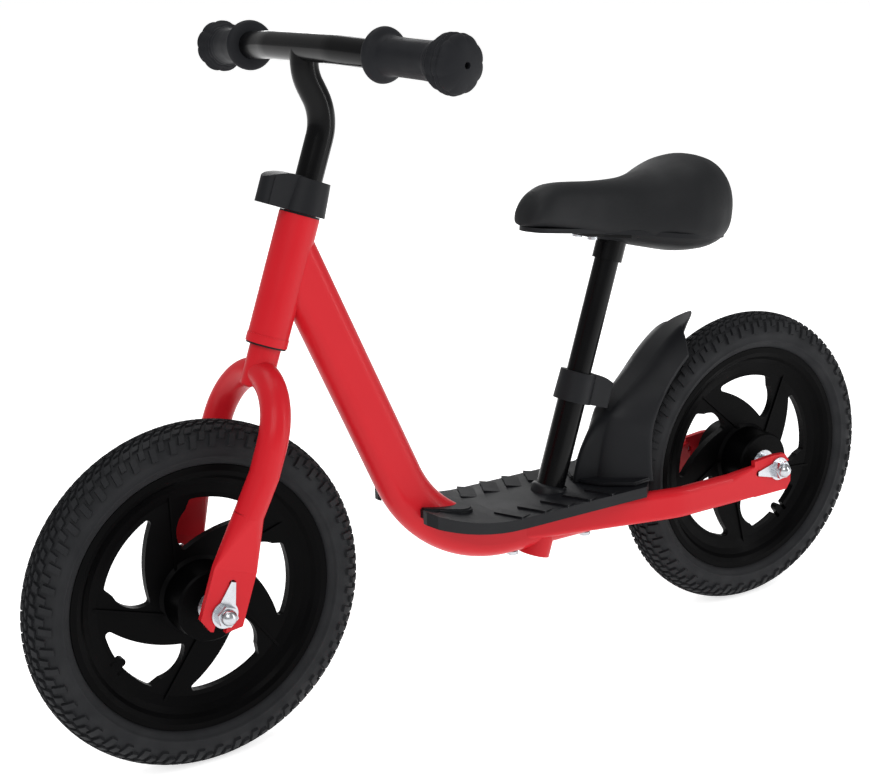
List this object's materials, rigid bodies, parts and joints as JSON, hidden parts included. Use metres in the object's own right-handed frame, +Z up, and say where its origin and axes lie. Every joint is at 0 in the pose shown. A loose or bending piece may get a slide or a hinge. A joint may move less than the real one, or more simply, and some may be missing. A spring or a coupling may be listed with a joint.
{
  "type": "balance bike",
  "caption": "Child's pedal-less balance bike: low bent-tube frame with footboard, foam-tyred wheels, sliding seat post and handlebar clamped in collars.",
  "frame": {"origin": "on the ground, midway between the two axles", "axes": "+X forward, +Y to the rider's left, +Z up, steering straight ahead"},
  "size_m": [0.865, 0.4034, 0.5814],
  "materials": {
    "red_paint": "gloss powder coat",
    "black_paint": "gloss powder coat",
    "black_plastic": "satin moulded plastic",
    "zinc_steel": "bright zinc plate",
    "bearing_steel": "ground steel",
    "grip_rubber": "satin",
    "saddle_foam": "matte moulded foam skin",
    "foam_tyre": "matte EVA foam"
  },
  "bodies": {
    "frame": {"head_tube": "red_paint", "main_tube": "red_paint", "left_stay": "red_paint", "right_stay": "red_paint", "seat_tube": "black_paint", "upper_headset_bush": "black_plastic", "lower_headset_bush": "black_plastic", "footboard": "black_plastic", "footboard_screws": "zinc_steel", "mudguard": "black_plastic", "mudguard_screws": "zinc_steel", "seat_clamp_cover": "black_plastic", "seat_clamp_band": "zinc_steel", "seat_clamp_bolt": "zinc_steel", "rear_axle": "zinc_steel", "rear_spacers": "zinc_steel", "rear_tab_washers": "zinc_steel", "rear_dome_nuts": "zinc_steel"},
    "steering": {"steerer_tube": "red_paint", "left_fork_leg": "red_paint", "right_fork_leg": "red_paint", "headset_clamp_cover": "black_plastic", "headset_clamp_band": "zinc_steel", "headset_clamp_bolt": "zinc_steel", "front_axle": "zinc_steel", "front_spacers": "zinc_steel", "front_tab_washers": "zinc_steel", "front_dome_nuts": "zinc_steel"},
    "handlebar": {"stem_tube": "black_paint", "crossbar": "black_paint", "left_grip": "grip_rubber", "right_grip": "grip_rubber"},
    "seat": {"seat_post": "black_paint", "saddle_bracket": "black_paint", "saddle_bolts": "zinc_steel", "saddle_base": "black_plastic", "saddle_pad": "saddle_foam"},
    "front_wheel": {"front_rim": "black_plastic", "front_tyre": "foam_tyre", "front_bearings": "bearing_steel"},
    "rear_wheel": {"rear_rim": "black_plastic", "rear_tyre": "foam_tyre", "rear_bearings": "bearing_steel"}
  },
  "joints": [
    {"name": "steering_turn", "type": "hinge", "parent": "frame", "child": "steering", "pos_m": [0.21447, 0, 0.33598], "axis": [-0.342, 0, 0.9397], "continuous": true},
    {"name": "handlebar_height", "type": "slide", "parent": "steering", "child": "handlebar", "axis": [-0.342, 0, 0.9397], "range_m": [-0.025, 0.035]},
    {"name": "seat_height", "type": "slide", "parent": "frame", "child": "seat", "axis": [-0.3156, 0, 0.9489], "range_m": [-0.05, 0.045]},
    {"name": "front_wheel_spin", "type": "hinge", "parent": "steering", "child": "front_wheel", "pos_m": [0.2895, 0, 0.143], "axis": [0, 1, 0], "continuous": true},
    {"name": "rear_wheel_spin", "type": "hinge", "parent": "frame", "child": "rear_wheel", "pos_m": [-0.2895, 0, 0.143], "axis": [0, 1, 0], "continuous": true}
  ]
}
